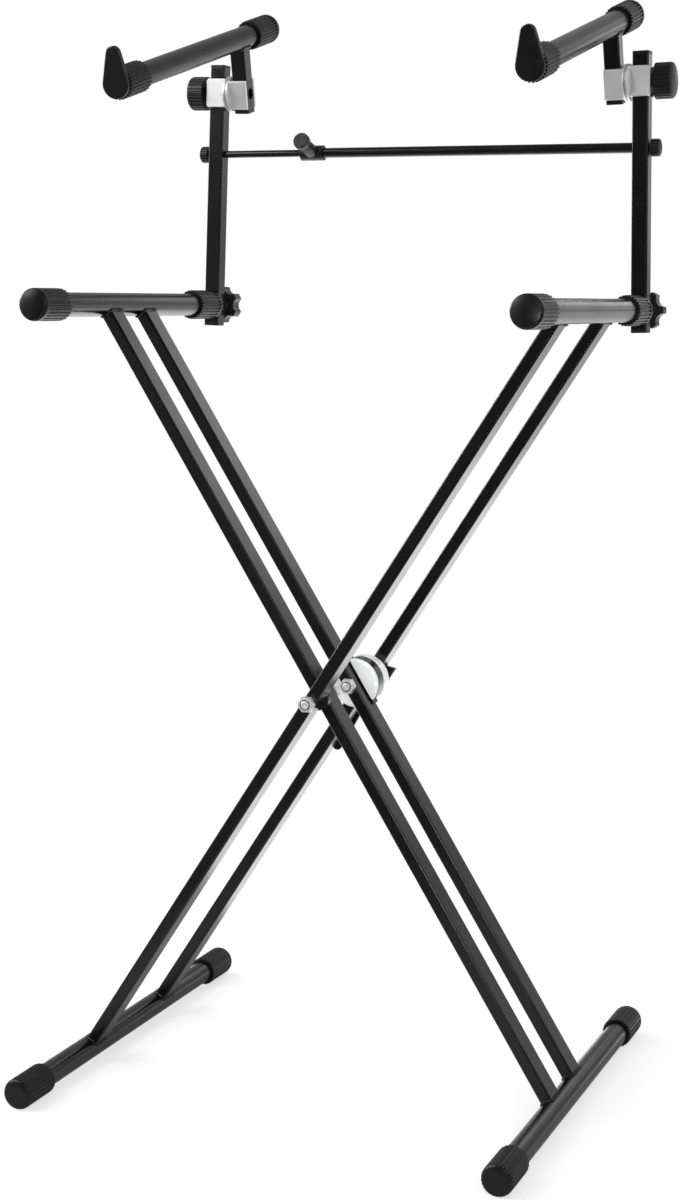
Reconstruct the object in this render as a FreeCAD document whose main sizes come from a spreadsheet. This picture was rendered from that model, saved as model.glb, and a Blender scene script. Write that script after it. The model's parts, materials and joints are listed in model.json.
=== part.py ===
"""Double-braced X keyboard stand with a clamp-on second tier.

X runs left to right, Y from the player's side to the back, Z up. The origin lies on
the floor, under the middle of the stand's bounding box. Lengths are millimetres.
"""
import math
import os

import FreeCAD
import Part
import Sketcher
from FreeCAD import Placement, Rotation, Vector

doc = FreeCAD.newDocument("keyboard_stand")
sheet = doc.addObject("Spreadsheet::Sheet", "Sizes")

SIZES = {
    # X frame: leaning angle from the vertical, and the pivot's distance to each end
    "leg_angle": 32.55,
    "arm_reach": 534,
    "foot_reach": 543,
    "leg_width": 15,
    "leg_depth": 30,
    "leg_wall": 1.5,
    "leg_corner": 2.5,
    "inner_corner": 1.2,
    # spaces along Y between neighbouring legs, front to back
    "front_gap": 8,
    "inner_gap": 56.5,
    "clutch_gap": 27.5,
    # round tubes of arms and feet, and where they end from the middle of the leg pack
    "tube_diameter": 28,
    "tube_wall": 1.5,
    "arm_front": 226,
    "upright_plane": 229,
    "foot_front": 272,
    "foot_rear": 276,
    # ribbed rubber caps
    "cap_diameter": 37,
    "cap_length": 60,
    "cap_end": 5,
    "cap_round": 4,
    "cap_lip": 1.5,
    "cap_fit": 0.1,
    "rib_count": 26,
    "rib_groove": 3,
    "rib_end": 8,
    "foot_flat": 0.5,
    "foot_round": 6,
    "hook_base": 33,
    "hook_height": 34.5,
    "hook_top": 17,
    "hook_depth": 8,
    "hook_round": 2,
    # second tier: square uprights, posts and their clamps
    "upright_side": 20,
    "upright_wall": 1.5,
    "upright_corner": 2,
    "upright_above": 303,
    "upright_below": 23,
    "upright_lean": 1.48,
    "upright_gap": 0.3,
    "plug_head": 4,
    "plug_depth": 8,
    "plug_fit": 0.1,
    "bolt_height": 271.5,
    "post_offset": 33.5,
    "post_height": 69,
    "post_below": 20,
    "left_tilt": 15.1,
    "right_tilt": 14.1,
    "upper_front": 339,
    "upper_rear": 90,
    "saddle_height": 36,
    "saddle_wall": 4,
    "saddle_fit": 0.1,
    "saddle_lip": 3,
    "saddle_round": 3,
    "saddle_corner": 4,
    "saddle_edge": 1,
    "saddle_disc": 44,
    "saddle_disc_depth": 1.8,
    "saddle_teeth": 36,
    "saddle_tooth_length": 6,
    "teeth_gap": 0.4,
    "tooth_height": 1.2,
    "tooth_width": 1.8,
    # fasteners
    "clamp_bolt": 8,
    "clamp_across": 13,
    "clamp_head": 5.3,
    "pivot_bolt": 10,
    "pivot_across": 17,
    "pivot_head": 7,
    "bolt_end": 2,
    "bolt_fit": 0.1,
    "hole_fit": 0.35,
    "run_gap": 0.3,
    "washer_diameter": 14.4,
    "washer_depth": 1.6,
    "insert_length": 30,
    "stud_grip": 15,
    # turned knobs: head, hub, flutes on the rim and rounded outer edge
    "tilt_knob": 43,
    "tilt_knob_depth": 22,
    "tilt_knob_hub": 18,
    "tilt_knob_hub_depth": 7,
    "tilt_knob_flutes": 30,
    "tilt_knob_flute": 2.4,
    "tilt_knob_flute_out": 0.2,
    "tilt_knob_round": 4,
    "star_knob": 47,
    "star_knob_depth": 18,
    "star_knob_hub": 22,
    "star_knob_hub_depth": 9,
    "star_knob_flutes": 6,
    "star_knob_flute": 19,
    "star_knob_flute_out": 3.5,
    "star_knob_round": 2.5,
    "bar_knob": 21,
    "bar_knob_depth": 11,
    "bar_knob_hub": 12,
    "bar_knob_hub_depth": 1.5,
    "bar_knob_flutes": 20,
    "bar_knob_flute": 1.6,
    "bar_knob_flute_out": 0.1,
    "bar_knob_round": 2.5,
    "collar_knob": 21,
    "collar_knob_depth": 8,
    "collar_knob_hub": 11,
    "collar_knob_hub_depth": 17.5,
    "collar_knob_flutes": 24,
    "collar_knob_flute": 1.2,
    "collar_knob_flute_out": 0.2,
    "collar_knob_round": 1.5,
    # telescopic crossbar
    "bar_height": 194,
    "rod_diameter": 9,
    "rod_visible": 109,
    "rod_inside": 230,
    "bar_diameter": 12.4,
    "bar_wall": 1.4,
    "bar_stud": 6,
    "bar_plug": 25,
    "collar_diameter": 19,
    "collar_length": 30,
    "collar_shoulder": 1,
    "collar_rise": 18,
    "boss_diameter": 14,
    "boss_reach": 17,
    # pivot and clutch
    "spacer_diameter": 26,
    "clutch_diameter": 60,
    "clutch_base_wall": 2,
    "clutch_base_length": 66,
    "clutch_base_flange": 12,
    "clutch_fit": 0.1,
    "clutch_straddle": 13,
    "clutch_rim": 4.5,
    "clutch_dome": 4,
    "clutch_groove": 47,
    "clutch_groove_width": 9,
    "clutch_inner_depth": 8.6,
    "clutch_round": 2,
    "clutch_teeth": 24,
    "clutch_pocket": 24,
    "clutch_pocket_depth": 6,
    "spring_wire": 1.8,
    "spring_diameter": 17,
    "spring_turns": 3.5,
    "lever_hub": 28,
    "lever_hub_depth": 9,
    "lever_width": 13,
    "lever_depth": 5,
    "lever_length": 108,
    "lever_turn": -4.2,
    "lever_back": 2,
    # the lever's tab beside the leg: reach across, and its ends along the leg
    "tab_reach": 17.3,
    "tab_above": 20.4,
    "tab_root": 14,
    "tab_below": 8,
}

for row, (alias, value) in enumerate(SIZES.items(), 1):
    sheet.set(f"A{row}", alias)
    sheet.set(f"B{row}", str(value))
    sheet.setAlias(f"B{row}", alias)
doc.recompute()

X = Vector(1, 0, 0)
Y = Vector(0, 1, 0)
Z = Vector(0, 0, 1)
TO_FRONT = Rotation(X, 90)
TO_BACK = Rotation(X, -90)
LEFT = -1
RIGHT = 1
SIDE_NAMES = {LEFT: "left", RIGHT: "right"}
HALF_HEXAGON = 30
TOLERANCE = 0.01

nodes = []


def size(alias):
    """One driving dimension as a number."""
    return float(sheet.get(alias))


def number(expression):
    """The value of an expression on the sheet's sizes."""
    result = sheet.evalExpression(expression)
    return float(getattr(result, "Value", result))


def bind(item, **expressions):
    """Tie properties of an object to the sheet."""
    for name, expression in expressions.items():
        item.setExpression(name, expression)
    return item


def node(item, label, placement=None):
    """Name a finished sub-part and put it in its place."""
    item.Label = label
    if placement is not None:
        item.Placement = placement
    nodes.append(item)
    return item


# Solids from primitives

def cylinder(diameter, length, base=Vector(), axis=Z):
    item = doc.addObject("Part::Cylinder", "cylinder")
    item.Placement = Placement(base, Rotation(Z, axis))
    return bind(item, Radius=f"({diameter}) / 2", Height=length)


def block(length, width, height, centre=Vector()):
    """A box around its centre."""
    item = doc.addObject("Part::Box", "block")
    corner = Vector(number(length), number(width), number(height)) * -0.5
    item.Placement = Placement(centre + corner, Rotation())
    return bind(item, Length=length, Width=width, Height=height)


def hexagon(across, height, base=Vector(), axis=Z):
    item = doc.addObject("Part::Prism", "hexagon")
    item.Polygon = 6
    item.Placement = Placement(base, Rotation(Z, axis))
    return bind(item, Circumradius=f"({across}) / (2 * cos(30))", Height=height)


def fuse(*items):
    item = doc.addObject("Part::MultiFuse", "fuse")
    item.Shapes = list(items)
    return item


def cut(base, *tools):
    for tool in tools:
        item = doc.addObject("Part::Cut", "cut")
        item.Base = base
        item.Tool = tool
        base = item
    return base


def group(*items):
    """Separate solids of one kind that share a node."""
    item = doc.addObject("Part::Compound", "group")
    item.Links = list(items)
    return item


def ring(outer, inner, length, base=Vector(), axis=Z):
    return cut(cylinder(outer, length, base, axis), cylinder(inner, length, base, axis))


# Bodies from sketches

def sketch_on(body, role="XY_Plane", lift=None):
    plane = next(item for item in body.Origin.OriginFeatures if item.Role == role)
    sketch = body.newObject("Sketcher::SketchObject", "sketch")
    sketch.AttachmentSupport = (plane, [""])
    sketch.MapMode = "FlatFace"
    if lift:
        sketch.setExpression("AttachmentOffset.Base.z", lift)
    return sketch


def dimension(sketch, expression, kind, *references):
    """A sketch dimension that follows the sheet."""
    value = number(expression)
    index = sketch.addConstraint(Sketcher.Constraint(kind, *references, value))
    sketch.setExpression(f"Constraints[{index}]", expression)


def locate(sketch, point, across, up):
    """Hold a sketch point at a signed distance from the origin along both axes."""
    for kind, expression, axis in (("DistanceX", across, -2), ("DistanceY", up, -1)):
        value = number(expression)
        if value == 0:
            sketch.addConstraint(Sketcher.Constraint("PointOnObject", *point, axis))
        elif value > 0:
            dimension(sketch, expression, kind, -1, 1, *point)
        else:
            dimension(sketch, f"-({expression})", kind, *point, -1, 1)


def circle(sketch, diameter, across="0", up="0"):
    centre = Vector(number(across), number(up), 0)
    index = sketch.addGeometry(Part.Circle(centre, Z, number(diameter) / 2))
    dimension(sketch, diameter, "Diameter", index)
    locate(sketch, (index, 3), across, up)
    return sketch


def polygon(sketch, corners):
    """A closed outline with straight sides through corners given as expressions."""
    points = [Vector(number(across), number(up), 0) for across, up in corners]
    count = len(points)
    for index in range(count):
        sketch.addGeometry(Part.LineSegment(points[index], points[(index + 1) % count]))
    for index in range(count):
        sketch.addConstraint(Sketcher.Constraint("Coincident", index, 2, (index + 1) % count, 1))
    for index, (across, up) in enumerate(corners):
        locate(sketch, (index, 1), across, up)
    return sketch


def rounded_end_bar(sketch, big, small, length):
    """Two arcs around the origin and a point above it, joined by tangent lines."""
    first, second, reach = number(big) / 2, number(small) / 2, number(length)
    lean = math.asin((first - second) / reach)
    centre, top = Vector(0, 0, 0), Vector(0, reach, 0)
    side = Vector(math.cos(lean), math.sin(lean), 0)
    other = Vector(-side.x, side.y, 0)
    low = Part.ArcOfCircle(Part.Circle(centre, Z, first), math.pi - lean, 2 * math.pi + lean)
    high = Part.ArcOfCircle(Part.Circle(top, Z, second), lean, math.pi - lean)
    sketch.addGeometry(low)
    sketch.addGeometry(Part.LineSegment(centre + side * first, top + side * second))
    sketch.addGeometry(high)
    sketch.addGeometry(Part.LineSegment(top + other * second, centre + other * first))
    for index in range(4):
        sketch.addConstraint(Sketcher.Constraint("Tangent", index, 2, (index + 1) % 4, 1))
    sketch.addConstraint(Sketcher.Constraint("Coincident", 0, 3, -1, 1))
    sketch.addConstraint(Sketcher.Constraint("PointOnObject", 2, 3, -2))
    dimension(sketch, big, "Diameter", 0)
    dimension(sketch, small, "Diameter", 2)
    dimension(sketch, length, "DistanceY", -1, 1, 2, 3)
    return sketch


def rounded_rectangle(sketch, width, depth, radius):
    """A rectangle around the origin with four equal round corners."""
    half_width, half_depth, bend = number(width) / 2, number(depth) / 2, number(radius)
    first = sketch.GeometryCount
    reach = Vector(half_width - bend, half_depth - bend, 0)
    signs = [(1, -1), (1, 1), (-1, 1), (-1, -1)]
    centres = [Vector(reach.x * across, reach.y * up, 0) for across, up in signs]
    outward = [Vector(0, -1, 0), X, Y, Vector(-1, 0, 0)]
    for index, centre in enumerate(centres):
        start = math.pi / 2 * (index - 1)
        arc = Part.ArcOfCircle(Part.Circle(centre, Z, bend), start, start + math.pi / 2)
        before = centres[index - 1]
        sketch.addGeometry(Part.LineSegment(before + outward[index] * bend, centre + outward[index] * bend))
        sketch.addGeometry(arc)
    sides = [first + 2 * index for index in range(4)]
    bends = [side + 1 for side in sides]
    for index in range(4):
        sketch.addConstraint(Sketcher.Constraint("Tangent", sides[index], 2, bends[index], 1))
        sketch.addConstraint(Sketcher.Constraint("Tangent", bends[index], 2, sides[(index + 1) % 4], 1))
        direction = "Horizontal" if index % 2 == 0 else "Vertical"
        sketch.addConstraint(Sketcher.Constraint(direction, sides[index]))
    for bend_index in bends[1:]:
        sketch.addConstraint(Sketcher.Constraint("Equal", bends[0], bend_index))
    sketch.addConstraint(Sketcher.Constraint("Symmetric", bends[0], 3, bends[2], 3, -1, 1))
    dimension(sketch, radius, "Radius", bends[0])
    dimension(sketch, width, "DistanceX", sides[3], 1, sides[1], 1)
    dimension(sketch, depth, "DistanceY", sides[0], 1, sides[2], 1)
    return sketch


def new_body(name):
    return doc.addObject("PartDesign::Body", name)


def pad(body, sketch, length, both_ways=False):
    item = body.newObject("PartDesign::Pad", "pad")
    item.Profile = sketch
    item.Midplane = both_ways
    bind(item, Length=length)
    doc.recompute()
    return item


def pocket(body, sketch, depth=None):
    """A cut along the sketch's normal, right through where no depth is given."""
    before = body.Shape.Volume
    item = body.newObject("PartDesign::Pocket", "pocket")
    item.Profile = sketch
    item.Reversed = True
    if depth is None:
        item.Type = "ThroughAll"
    else:
        bind(item, Length=depth)
    doc.recompute()
    if item.Shape.Volume >= before:
        raise RuntimeError(f"{body.Name}: a pocket cuts nothing")
    return item


def round_edges(body, radius, chosen):
    """Round the edges of the body's last feature that the test chooses."""
    base = body.Tip
    names = [f"Edge{index}" for index, edge in enumerate(base.Shape.Edges, 1) if chosen(edge)]
    item = body.newObject("PartDesign::Fillet", "fillet")
    item.Base = (base, names)
    bind(item, Radius=radius)
    doc.recompute()
    return item


def around(body, feature, sketch, count):
    """Repeat a feature around the sketch's normal."""
    item = body.newObject("PartDesign::PolarPattern", "around")
    item.Originals = [feature]
    item.Axis = (sketch, ["N_Axis"])
    item.Angle = 360
    bind(item, Occurrences=count)
    body.Tip = item
    doc.recompute()
    return item


def rim_at(height, least_radius):
    """A test for round edges in the plane at a height on Z, no smaller than a radius."""
    def chosen(edge):
        curve = edge.Curve
        round_edge = hasattr(curve, "Radius") and curve.Radius > least_radius - TOLERANCE
        return round_edge and abs(edge.BoundBox.ZMin - height) < TOLERANCE and edge.BoundBox.ZLength < TOLERANCE
    return chosen


# Places that several sub-parts share

LEG_ANGLE = math.radians(size("leg_angle"))
TILT = {LEFT: size("left_tilt"), RIGHT: size("right_tilt")}
FOOT_X = size("foot_reach") * math.sin(LEG_ANGLE)
FOOT_Z = size("cap_diameter") / 2 - size("foot_flat")
PIVOT_Z = FOOT_Z + size("foot_reach") * math.cos(LEG_ANGLE)
ARM_X = size("arm_reach") * math.sin(LEG_ANGLE)
ARM_Z = PIVOT_Z + size("arm_reach") * math.cos(LEG_ANGLE)

pack_depth = 4 * size("leg_depth") + size("front_gap") + size("inner_gap") + size("clutch_gap")


def upper_reach(side):
    """How far the upper arm's rear cap reaches behind the clamp bolt."""
    angle = math.radians(TILT[side])
    end = size("upper_rear") * math.cos(angle) - size("post_height") * math.sin(angle)
    edge = (size("cap_diameter") / 2 - size("cap_round")) * math.sin(angle)
    return end + edge + size("cap_round") * (1 - math.cos(angle))


rear_end = size("upright_plane") + size("upright_side") / 2
rear_end += max(upper_reach(LEFT), upper_reach(RIGHT))
PACK_Y = (size("foot_front") - rear_end) / 2

OUTER_FRONT_Y = PACK_Y - pack_depth / 2 + size("leg_depth") / 2
INNER_FRONT_Y = OUTER_FRONT_Y + size("leg_depth") + size("front_gap")
INNER_REAR_Y = INNER_FRONT_Y + size("leg_depth") + size("inner_gap")
OUTER_REAR_Y = INNER_REAR_Y + size("leg_depth") + size("clutch_gap")
UPRIGHT_Y = PACK_Y + size("upright_plane") + size("upright_side") / 2
HALF_LEG = size("leg_depth") / 2

TUBE = "Sizes.tube_diameter"
TUBE_BORE = "Sizes.tube_diameter - 2 * Sizes.tube_wall"
PIVOT_HOLE = "Sizes.pivot_bolt + 2 * Sizes.bolt_fit"
CLAMP_HOLE = "Sizes.clamp_bolt + 2 * Sizes.bolt_fit"


def upright_frame(side):
    """Z up along the upright from the lower arm's axis, Y to the back."""
    lean = Rotation(Y, -side * size("upright_lean"))
    return Placement(Vector(side * ARM_X, UPRIGHT_Y, ARM_Z), lean)


def clamp_frame(side):
    """On the clamp bolt's axis in the middle of the upright, Z outwards along the bolt, Y up."""
    outward = Rotation(Y, 90) * Rotation(Z, 90)
    if side == LEFT:
        outward = Rotation(Z, 180) * outward
    bolt = Placement(Vector(0, 0, size("bolt_height")), Rotation())
    return upright_frame(side) * bolt * Placement(Vector(), outward)


def tier_frame(side):
    """On the clamp bolt's axis in the middle of the post, Z up the post, Y back along the arm."""
    place = Vector(-side * size("post_offset"), 0, size("bolt_height"))
    return upright_frame(side) * Placement(place, Rotation(X, TILT[side]))


# Tubes

def round_tube(label, length, placement):
    tube = ring(TUBE, TUBE_BORE, length)
    return node(tube, label, placement)


def box_tube(width, depth, wall, corner, length):
    body = new_body("box_tube")
    section = rounded_rectangle(sketch_on(body), width, depth, corner)
    hollow = f"- 2 * {wall}"
    rounded_rectangle(section, f"{width} {hollow}", f"{depth} {hollow}", "Sizes.inner_corner")
    pad(body, section, length)
    return body


def leg(label, side, middle):
    """One leg from its foot to its arm, coped to both tubes and bored at the pivot."""
    length = "Sizes.arm_reach + Sizes.foot_reach"
    tube = box_tube("Sizes.leg_width", "Sizes.leg_depth", "Sizes.leg_wall", "Sizes.leg_corner", length)
    start = Vector(0, -size("leg_depth"), 0)
    through = "2 * Sizes.leg_depth"
    foot = cylinder(TUBE, through, start, Y)
    arm = cylinder(TUBE, through, start + Z * number(length), Y)
    pivot = cylinder(PIVOT_HOLE, through, start + Z * size("foot_reach"), Y)
    placement = Placement(Vector(-side * FOOT_X, middle, FOOT_Z), Rotation(Y, side * size("leg_angle")))
    return node(cut(tube, foot, arm, pivot), label, placement)


# Rubber caps

def cap_blank(name, length="Sizes.cap_length"):
    """A solid cylinder from the cap's mouth at Z 0."""
    body = new_body(name)
    pad(body, circle(sketch_on(body), "Sizes.cap_diameter"), length)
    return body


def finish_cap(body, rib_length):
    """Round the mouth, bore the cup and cut the ribs."""
    round_edges(body, "Sizes.cap_lip", rim_at(0, size("cap_diameter") / 2))
    bore = circle(sketch_on(body), f"{TUBE} + 2 * Sizes.cap_fit")
    pocket(body, bore, "Sizes.cap_length - Sizes.cap_end")
    groove = circle(sketch_on(body), "Sizes.rib_groove", "Sizes.cap_diameter / 2")
    ribs = pocket(body, groove, rib_length)
    around(body, ribs, groove, "Sizes.rib_count")
    return body


def round_cap(name, radius="Sizes.cap_round", rib_length="Sizes.cap_length - Sizes.rib_end"):
    """A cap with a round end."""
    body = cap_blank(name)
    round_edges(body, radius, rim_at(size("cap_length"), size("cap_diameter") / 2))
    return finish_cap(body, rib_length)


def plain_cap(placement):
    body = round_cap("cap")
    body.Placement = placement
    return body


def bored_cap(placement):
    """A cap with a hole in its end for the star knob's stud."""
    body = round_cap("bored_cap")
    pocket(body, circle(sketch_on(body), "Sizes.clamp_bolt + 2 * Sizes.hole_fit"))
    body.Placement = placement
    return body


def foot_cap(placement):
    """A cap with ribs over its whole length and a flat to stand on, below the tube."""
    body = round_cap("foot_cap", "Sizes.foot_round", "Sizes.cap_length")
    keep = "(Sizes.cap_diameter / 2 - Sizes.foot_flat)"
    low = "-Sizes.cap_diameter"
    flat = sketch_on(body)
    wide = "Sizes.cap_diameter"
    polygon(flat, [(f"-{wide}", low), (wide, low), (wide, f"-{keep}"), (f"-{wide}", f"-{keep}")])
    pocket(body, flat)
    body.Placement = placement
    return body


def hook_cap(placement):
    """A cap whose end rises into a stop plate for the keyboard."""
    behind = "Sizes.cap_length - Sizes.hook_depth"
    body = cap_blank("hook_cap", behind)
    plate = sketch_on(body, lift=behind)
    rounded_end_bar(plate, "Sizes.hook_base", "Sizes.hook_top", "Sizes.hook_height")
    pad(body, plate, "Sizes.hook_depth")
    front = size("cap_length")

    def front_edge(edge):
        return edge.BoundBox.ZMin > front - TOLERANCE

    round_edges(body, "Sizes.hook_round", front_edge)
    finish_cap(body, behind)
    body.Placement = placement
    return body


def lengthwise(side_x, along, height, rotation):
    return Placement(Vector(side_x, PACK_Y + along, height), rotation)


TO_REAR = TO_BACK * Rotation(Z, 180)
CAP = size("cap_length")


def arm(side):
    """A lower arm: tube, two caps and the threaded insert for the star knob."""
    name = SIDE_NAMES[side]
    front = -size("arm_front")
    rear = size("upright_plane") - size("upright_gap")
    inside = size("cap_end")
    length = "Sizes.arm_front + Sizes.upright_plane - Sizes.upright_gap - 2 * Sizes.cap_end"
    at = side * ARM_X
    round_tube(f"{name}_arm", length, lengthwise(at, front + inside, ARM_Z, TO_BACK))
    front_cap = plain_cap(lengthwise(at, front + CAP, ARM_Z, TO_FRONT))
    rear_cap = bored_cap(lengthwise(at, rear - CAP, ARM_Z, TO_REAR))
    node(group(front_cap, rear_cap), f"{name}_arm_caps")
    plug = ring(f"{TUBE_BORE} - 2 * Sizes.cap_fit", CLAMP_HOLE, "Sizes.insert_length")
    seat = lengthwise(at, rear - inside - size("insert_length"), ARM_Z, TO_BACK)
    node(plug, f"{name}_arm_insert", seat)


def foot(side):
    """A foot: a longer tube with a cap on each end, flat underneath."""
    name = SIDE_NAMES[side]
    front = -size("foot_front")
    rear = size("foot_rear")
    inside = size("cap_end")
    length = "Sizes.foot_front + Sizes.foot_rear - 2 * Sizes.cap_end"
    at = side * FOOT_X
    round_tube(f"{name}_foot", length, lengthwise(at, front + inside, FOOT_Z, TO_BACK))
    front_cap = foot_cap(lengthwise(at, front + CAP, FOOT_Z, TO_FRONT))
    rear_cap = foot_cap(lengthwise(at, rear - CAP, FOOT_Z, TO_REAR))
    node(group(front_cap, rear_cap), f"{name}_foot_caps")


# Knobs

def knob(kind, bore, bore_depth):
    """A turned knob: hub from Z 0, then a head with flutes around its rim."""
    sizes = f"Sizes.{kind}"
    body = new_body(kind)
    pad(body, circle(sketch_on(body), f"{sizes}_hub"), f"{sizes}_hub_depth")
    head = sketch_on(body, lift=f"{sizes}_hub_depth")
    pad(body, circle(head, sizes), f"{sizes}_depth")
    top = number(f"{sizes}_hub_depth + {sizes}_depth")
    round_edges(body, f"{sizes}_round", rim_at(top, size(kind) / 2))
    pocket(body, circle(sketch_on(body), bore), bore_depth)
    flute = sketch_on(body, lift=f"{sizes}_hub_depth")
    circle(flute, f"{sizes}_flute", f"{sizes} / 2 + {sizes}_flute_out")
    around(body, pocket(body, flute), flute, f"{sizes}_flutes")
    return body


# Second tier

def upright(side):
    """A square tube behind the arm, with its plugs, star knob and stud."""
    name = SIDE_NAMES[side]
    frame = upright_frame(side)
    below = Vector(0, 0, -size("upright_below"))
    wide = "Sizes.upright_side"
    length = "Sizes.upright_above + Sizes.upright_below"
    tube = box_tube(wide, wide, "Sizes.upright_wall", "Sizes.upright_corner", length)
    across = f"2 * {wide}"
    low = size("upright_below")
    star = cylinder("Sizes.clamp_bolt + 2 * Sizes.hole_fit", across, Vector(0, -size("upright_side"), low), Y)
    start = Vector(-size("upright_side"), 0, low)
    bolt = cylinder("Sizes.clamp_bolt + 2 * Sizes.hole_fit", across, start + Z * size("bolt_height"), X)
    bar = cylinder("Sizes.bar_stud + 2 * Sizes.hole_fit", across, start + Z * size("bar_height"), X)
    node(cut(tube, star, bolt, bar), f"{name}_upright", frame * Placement(below, Rotation()))
    top = Placement(Vector(0, 0, size("upright_above")), Rotation())
    bottom = Placement(below, Rotation(X, 180))
    plugs = group(square_plug(top), square_plug(bottom))
    node(plugs, f"{name}_upright_plugs", frame)
    back = Placement(Vector(0, size("upright_side") / 2 + size("upright_gap"), 0), TO_BACK)
    depth = "Sizes.star_knob_hub_depth + Sizes.star_knob_depth / 2"
    half_lobe = 180 / size("star_knob_flutes") if side == RIGHT else 0
    turned = Placement(Vector(), Rotation(Z, half_lobe))
    node(knob("star_knob", "Sizes.clamp_bolt", depth), f"{name}_star_knob", frame * back * turned)
    reach = f"{wide} + 2 * Sizes.upright_gap + Sizes.cap_end + Sizes.stud_grip"
    stud = cylinder("Sizes.clamp_bolt", f"{reach} + {depth}")
    node(stud, f"{name}_star_stud", frame * back * Placement(Z * -number(reach), Rotation()))


def square_plug(placement):
    """A plug on a tube's end at Z 0, its head outside."""
    wide = "Sizes.upright_side"
    body = new_body("plug")
    pad(body, rounded_rectangle(sketch_on(body), wide, wide, "Sizes.upright_corner"), "Sizes.plug_head")
    narrow = f"{wide} - 2 * Sizes.upright_wall - 2 * Sizes.plug_fit"
    stem = sketch_on(body, lift="-Sizes.plug_depth")
    pad(body, rounded_rectangle(stem, narrow, narrow, "Sizes.inner_corner"), "Sizes.plug_depth")
    body.Placement = placement
    return body


def saddle(lip, round_mouth):
    """A cast U around a square tube, its toothed face at Z 0 and its mouth along Z.

    The tube's axis runs along Y, and the clamp bolt's along Z.
    """
    body = new_body("saddle")
    web = "Sizes.post_offset / 2 - Sizes.upright_side / 2 - Sizes.saddle_fit"
    face = "Sizes.teeth_gap / 2 + Sizes.tooth_height"
    inner = "(Sizes.upright_side / 2 + Sizes.saddle_fit)"
    outer = f"({inner} + Sizes.saddle_wall)"
    mouth = f"Sizes.post_offset / 2 + Sizes.upright_side / 2 + {lip}"
    outline = [
        (f"-{outer}", face), (outer, face), (outer, mouth), (inner, mouth),
        (inner, web), (f"-{inner}", web), (f"-{inner}", mouth), (f"-{outer}", mouth),
    ]
    pad(body, polygon(sketch_on(body, "XZ_Plane"), outline), "Sizes.saddle_height", both_ways=True)
    side, low, high = number(outer), number(face), number(mouth)
    half_height = size("saddle_height") / 2

    def back_corner(edge):
        box = edge.BoundBox
        return box.YLength > 1 and abs(abs(box.XMin) - side) < TOLERANCE and abs(box.ZMax - low) < TOLERANCE

    def at_end(box):
        return abs(abs(box.YMin) - half_height) < TOLERANCE and box.YLength < TOLERANCE

    def mouth_corner(edge):
        box = edge.BoundBox
        return at_end(box) and box.XLength > 1 and box.ZMin > high - TOLERANCE

    def end_rim(edge):
        box = edge.BoundBox
        return at_end(box) and box.ZLength > 1 and abs(edge.CenterOfMass.x) > number(inner) + TOLERANCE

    round_edges(body, "Sizes.saddle_round", back_corner)
    if round_mouth:
        round_edges(body, "Sizes.saddle_corner", mouth_corner)
    round_edges(body, "Sizes.saddle_edge", end_rim)
    disc = circle(sketch_on(body, lift="Sizes.teeth_gap / 2"), "Sizes.saddle_disc")
    pad(body, disc, "Sizes.tooth_height + Sizes.saddle_disc_depth")
    pocket(body, circle(sketch_on(body), "Sizes.clamp_bolt + 2 * Sizes.hole_fit"))
    slot = tooth_slot(sketch_on(body), "Sizes.saddle_disc / 2 - Sizes.saddle_tooth_length", "Sizes.saddle_disc")
    around(body, pocket(body, slot, face), slot, "Sizes.saddle_teeth")
    return body


def tooth_slot(sketch, inside, outside):
    """The outline of one slot between two radial teeth."""
    half = "Sizes.tooth_width / 2"
    return polygon(sketch, [(inside, f"-{half}"), (outside, f"-{half}"), (outside, half), (inside, half)])


def clamp(side):
    """The tilt clamp: a saddle on the upright, one on the post, washer, bolt and knob.

    The bolt's head and washer lie inside the post, behind the hexagon hole in its far face.
    """
    name = SIDE_NAMES[side]
    frame = clamp_frame(side)
    half = size("post_offset") / 2
    middle = Placement(Vector(0, 0, -half), Rotation())
    node(saddle("Sizes.saddle_lip", True), f"{name}_upright_saddle", frame * middle)
    turned = Rotation(Z, side * TILT[side]) * Rotation(Y, 180)
    node(saddle("0", False), f"{name}_post_saddle", frame * Placement(Vector(0, 0, -half), turned))
    near_wall = "Sizes.post_offset - Sizes.upright_side / 2 + Sizes.upright_wall"
    under_head = Z * -number(f"{near_wall} + Sizes.washer_depth")
    washer = ring("Sizes.washer_diameter", CLAMP_HOLE, "Sizes.washer_depth")
    node(washer, f"{name}_tilt_washer", frame * Placement(under_head, Rotation()))
    grip = "Sizes.tilt_knob_hub_depth + Sizes.tilt_knob_depth / 2"
    shank_length = f"Sizes.post_offset + Sizes.upright_wall + Sizes.washer_depth + Sizes.run_gap + {grip}"
    head = hexagon("Sizes.clamp_across", "Sizes.clamp_head", under_head - Z * size("clamp_head"))
    shank = cylinder("Sizes.clamp_bolt", shank_length, under_head)
    in_line = Placement(Vector(), Rotation(Z, side * TILT[side] + HALF_HEXAGON))
    node(fuse(head, shank), f"{name}_tilt_bolt", frame * in_line)
    outside = Placement(Vector(0, 0, size("upright_side") / 2 + size("run_gap")), Rotation())
    node(knob("tilt_knob", CLAMP_HOLE, grip), f"{name}_tilt_knob", frame * outside)


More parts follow.
